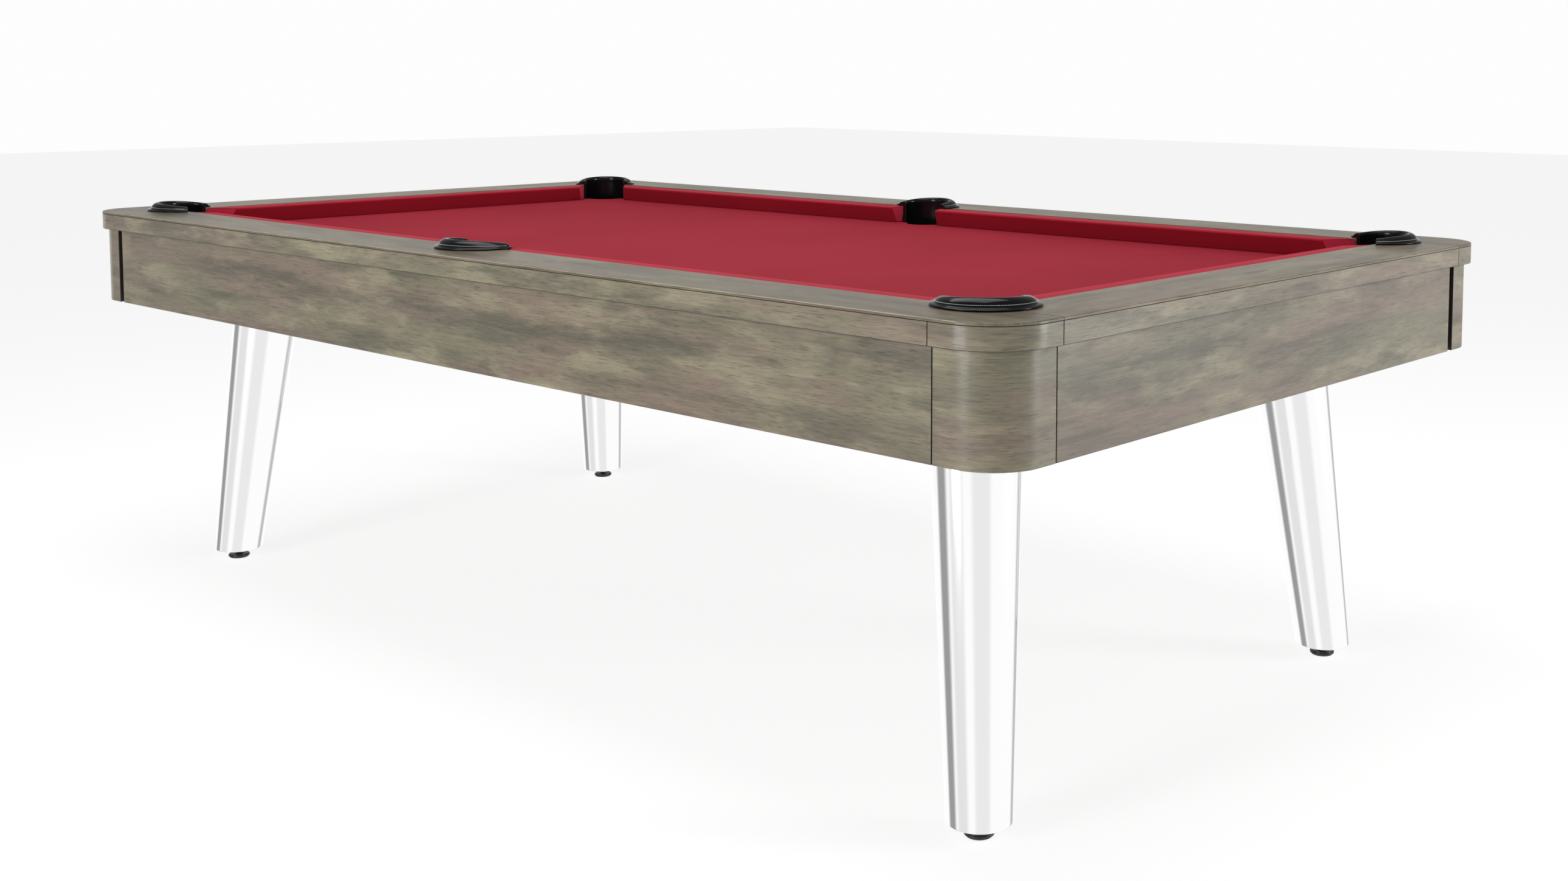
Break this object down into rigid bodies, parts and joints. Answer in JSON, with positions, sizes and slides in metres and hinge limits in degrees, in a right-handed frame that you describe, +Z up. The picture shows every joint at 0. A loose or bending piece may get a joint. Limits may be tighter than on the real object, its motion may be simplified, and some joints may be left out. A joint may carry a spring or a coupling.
{
  "type": "pool table",
  "caption": "Slate-bed pool table with cloth-covered cushions, drop pockets, a rounded wooden cabinet and splayed tapered metal legs on screw levellers.",
  "frame": {"origin": "on the floor under the middle of the table", "axes": "+X along the length, -Y is the front long side, +Z up"},
  "size_m": [2.5812, 1.4636, 0.8055],
  "materials": {
    "rail_wood": "grey-brown stain, satin lacquer",
    "cabinet_wood": "grey-brown stain with greenish and pinkish patches, satin lacquer",
    "slate": "ground stone, matt",
    "cloth": "red worsted cloth",
    "cushion": "rubber profile under red worsted cloth",
    "pocket_leather": "black, semi-gloss, stitched",
    "frame_wood": "plain sawn softwood",
    "plate_steel": "black powder coat",
    "leg_metal": "mirror polished",
    "leveller_metal": "dark plated steel"
  },
  "bodies": {
    "table": {"rail_back": "rail_wood", "rail_front": "rail_wood", "rail_right": "rail_wood", "rail_left": "rail_wood", "fascia_corner_front_left": "rail_wood", "fascia_corner_front_right": "rail_wood", "fascia_corner_back_right": "rail_wood", "fascia_corner_back_left": "rail_wood", "fascia_front": "rail_wood", "fascia_right": "rail_wood", "fascia_back": "rail_wood", "fascia_left": "rail_wood", "corner_post_front_left": "cabinet_wood", "corner_post_front_right": "cabinet_wood", "corner_post_back_right": "cabinet_wood", "corner_post_back_left": "cabinet_wood", "apron_front": "cabinet_wood", "apron_right": "cabinet_wood", "apron_back": "cabinet_wood", "apron_left": "cabinet_wood", "slate_left": "slate", "slate_middle": "slate", "slate_right": "slate", "bed_cloth": "cloth", "cushion_back_right": "cushion", "cushion_back_left": "cushion", "cushion_front_left": "cushion", "cushion_front_right": "cushion", "cushion_right": "cushion", "cushion_left": "cushion", "pocket_ring_front_left": "pocket_leather", "pocket_basket_front_left": "pocket_leather", "pocket_ring_front_side": "pocket_leather", "pocket_basket_front_side": "pocket_leather", "pocket_ring_front_right": "pocket_leather", "pocket_basket_front_right": "pocket_leather", "pocket_ring_back_right": "pocket_leather", "pocket_basket_back_right": "pocket_leather", "pocket_ring_back_side": "pocket_leather", "pocket_basket_back_side": "pocket_leather", "pocket_ring_back_left": "pocket_leather", "pocket_basket_back_left": "pocket_leather", "long_beam_front": "frame_wood", "long_beam_back": "frame_wood", "cross_beam_left": "frame_wood", "cross_beam_right": "frame_wood", "leg_plate_front_left": "plate_steel", "leg_front_left": "leg_metal", "leg_plate_front_right": "plate_steel", "leg_front_right": "leg_metal", "leg_plate_back_right": "plate_steel", "leg_back_right": "leg_metal", "leg_plate_back_left": "plate_steel", "leg_back_left": "leg_metal"},
    "leveller_front_left": {"leveller_front_left": "leveller_metal"},
    "leveller_front_right": {"leveller_front_right": "leveller_metal"},
    "leveller_back_right": {"leveller_back_right": "leveller_metal"},
    "leveller_back_left": {"leveller_back_left": "leveller_metal"}
  },
  "joints": [
    {"name": "leveller_front_left_screw", "type": "slide", "parent": "table", "child": "leveller_front_left", "axis": [0, 0, -1], "range_m": [0, 0.015]},
    {"name": "leveller_front_right_screw", "type": "slide", "parent": "table", "child": "leveller_front_right", "axis": [0, 0, -1], "range_m": [0, 0.015]},
    {"name": "leveller_back_right_screw", "type": "slide", "parent": "table", "child": "leveller_back_right", "axis": [0, 0, -1], "range_m": [0, 0.015]},
    {"name": "leveller_back_left_screw", "type": "slide", "parent": "table", "child": "leveller_back_left", "axis": [0, 0, -1], "range_m": [0, 0.015]}
  ]
}
